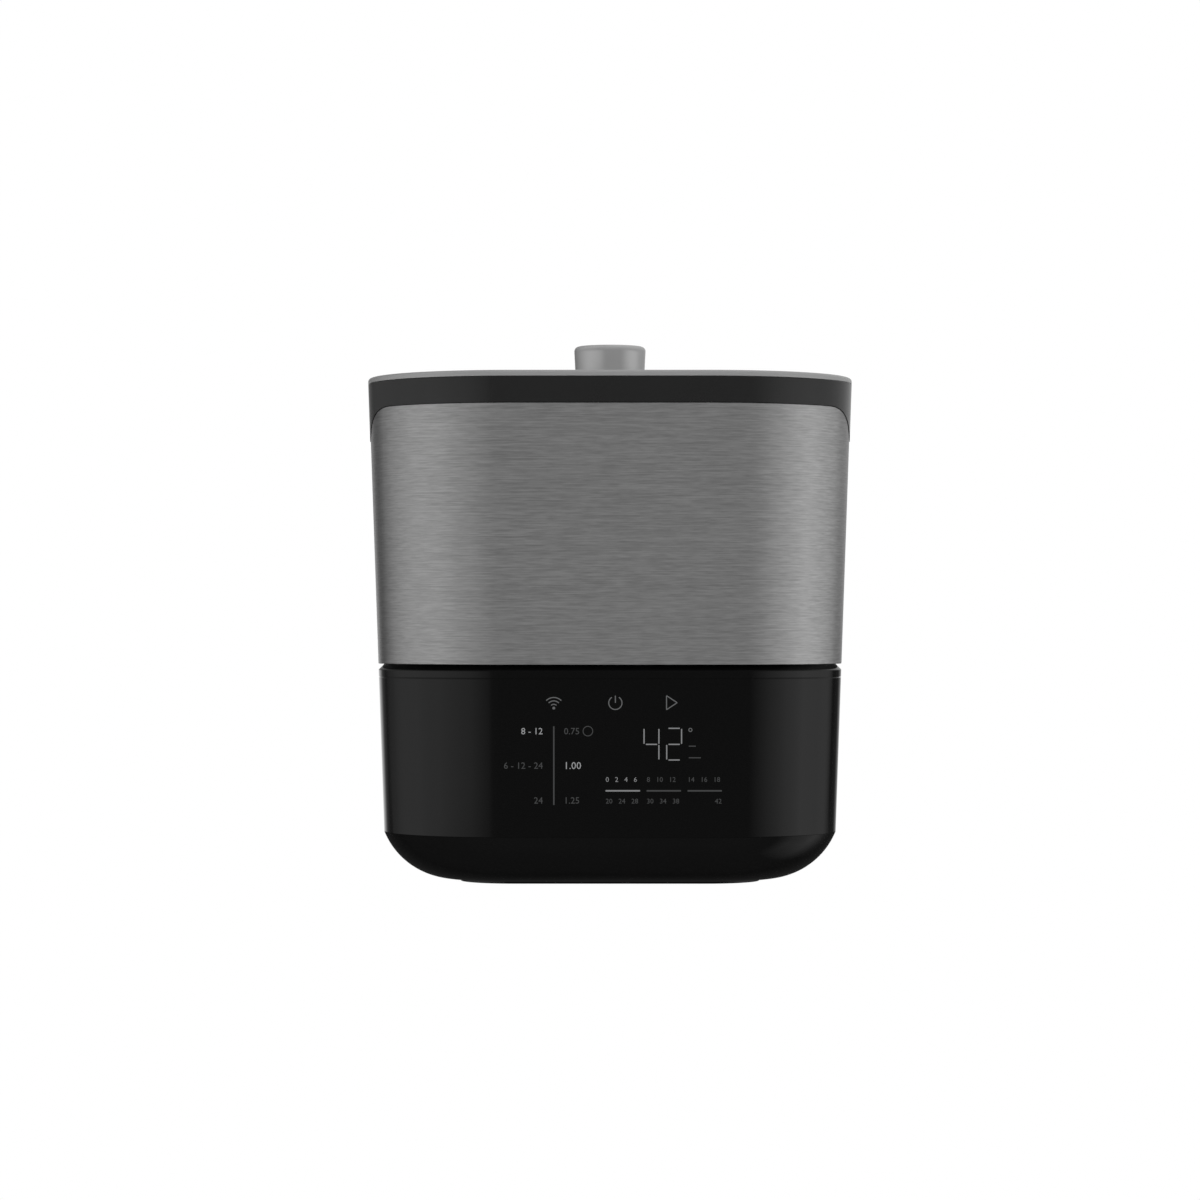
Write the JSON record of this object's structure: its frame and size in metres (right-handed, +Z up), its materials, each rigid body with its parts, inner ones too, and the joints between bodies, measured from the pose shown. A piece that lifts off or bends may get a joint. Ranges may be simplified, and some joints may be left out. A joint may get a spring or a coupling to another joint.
{
  "type": "yogurt maker",
  "caption": "Squarish countertop yogurt maker with a knobbed lift-off lid, a lift-out pot in a heated steel-clad well, and a gloss base with a touch display.",
  "frame": {"origin": "middle of the underside, on the surface that the feet stand on", "axes": "+Z up, front with the display faces -Y, +X to the right seen from the front"},
  "size_m": [0.2496, 0.2496, 0.2792],
  "materials": {
    "satin_grey": "satin grey lid plate and knob",
    "brushed_steel": "stainless sheet brushed lengthways",
    "band_plastic": "fine-grained matt black",
    "gloss_black": "piano black",
    "black_plastic": "plain black moulding",
    "pot_steel": "stainless, finely brushed",
    "screw_steel": "zinc-plated",
    "aluminium": "matt",
    "element_steel": "dark heating tube",
    "brass": "plain",
    "silicone": "grey food-grade silicone",
    "rubber": "black rubber",
    "foam": "light heat-insulating felt",
    "foam_tape": "foam",
    "white_plastic": "off-white",
    "circuit_board": "green solder mask",
    "copper_coils": "enamelled copper",
    "transformer_tape": "yellow tape over ferrite",
    "capacitor_sleeve": "dark blue sleeve",
    "relay_case": "blue",
    "terminal_green": "green",
    "lead_red": "silicone-insulated wire",
    "lead_brown": "wire insulation"
  },
  "bodies": {
    "housing": {"upper_collar": "band_plastic", "collar_contacts": "brass", "steel_shell": "brushed_steel", "inner_well": "aluminium", "well_insulation": "foam", "heater_plate": "aluminium", "heater_element": "element_steel", "heater_carrier": "screw_steel", "heater_screws": "screw_steel", "thermal_fuse": "white_plastic", "pot_sensor": "aluminium", "sensor_spring": "screw_steel", "chassis": "black_plastic", "collar_screws": "screw_steel", "base_top_ring": "gloss_black", "base_housing": "gloss_black", "panel_tape": "foam_tape", "light_guide": "black_plastic", "digit_block": "white_plastic", "touch_pads": "foam_tape", "display_board": "circuit_board", "radio_module": "screw_steel", "buzzer": "black_plastic", "display_cable": "white_plastic", "cable_connectors": "white_plastic", "fan_frame": "black_plastic", "fan_bearing": "brass", "fan_stator": "copper_coils", "fan_screws": "screw_steel", "power_board": "circuit_board", "transformer": "transformer_tape", "capacitor": "capacitor_sleeve", "relay": "relay_case", "terminal_block": "terminal_green", "heater_leads": "lead_red", "board_screws": "screw_steel", "power_inlet": "black_plastic", "inlet_pins": "brass", "mains_leads": "lead_brown", "bottom_tray": "gloss_black", "tray_screws": "screw_steel", "foot_front_left": "rubber", "foot_front_right": "rubber", "foot_rear_left": "rubber", "foot_rear_right": "rubber"},
    "pot": {"inner_pot": "pot_steel"},
    "lid": {"lid_plate": "satin_grey", "lid_knob": "satin_grey", "knob_screws": "screw_steel", "lid_liner": "black_plastic", "lid_insulation": "foam", "lid_gasket": "silicone", "probe_socket": "black_plastic", "lid_leads": "brass", "lid_contacts": "brass"},
    "probe": {"probe_jack": "brass", "probe_head": "black_plastic", "probe_rod": "pot_steel"},
    "fan": {"fan_impeller": "black_plastic", "fan_shaft": "pot_steel"}
  },
  "joints": [
    {"name": "pot_lift", "type": "slide", "parent": "housing", "child": "pot", "axis": [0, 0, 1], "range_m": [0, 0.15]},
    {"name": "lid_lift", "type": "slide", "parent": "pot", "child": "lid", "axis": [0, 0, 1], "range_m": [0, 0.12]},
    {"name": "probe_pull", "type": "slide", "parent": "lid", "child": "probe", "axis": [0, 0, -1], "range_m": [0, 0.02]},
    {"name": "fan_spin", "type": "hinge", "parent": "housing", "child": "fan", "pos_m": [0, 0, 0.017], "axis": [0, 0, 1], "continuous": true}
  ]
}
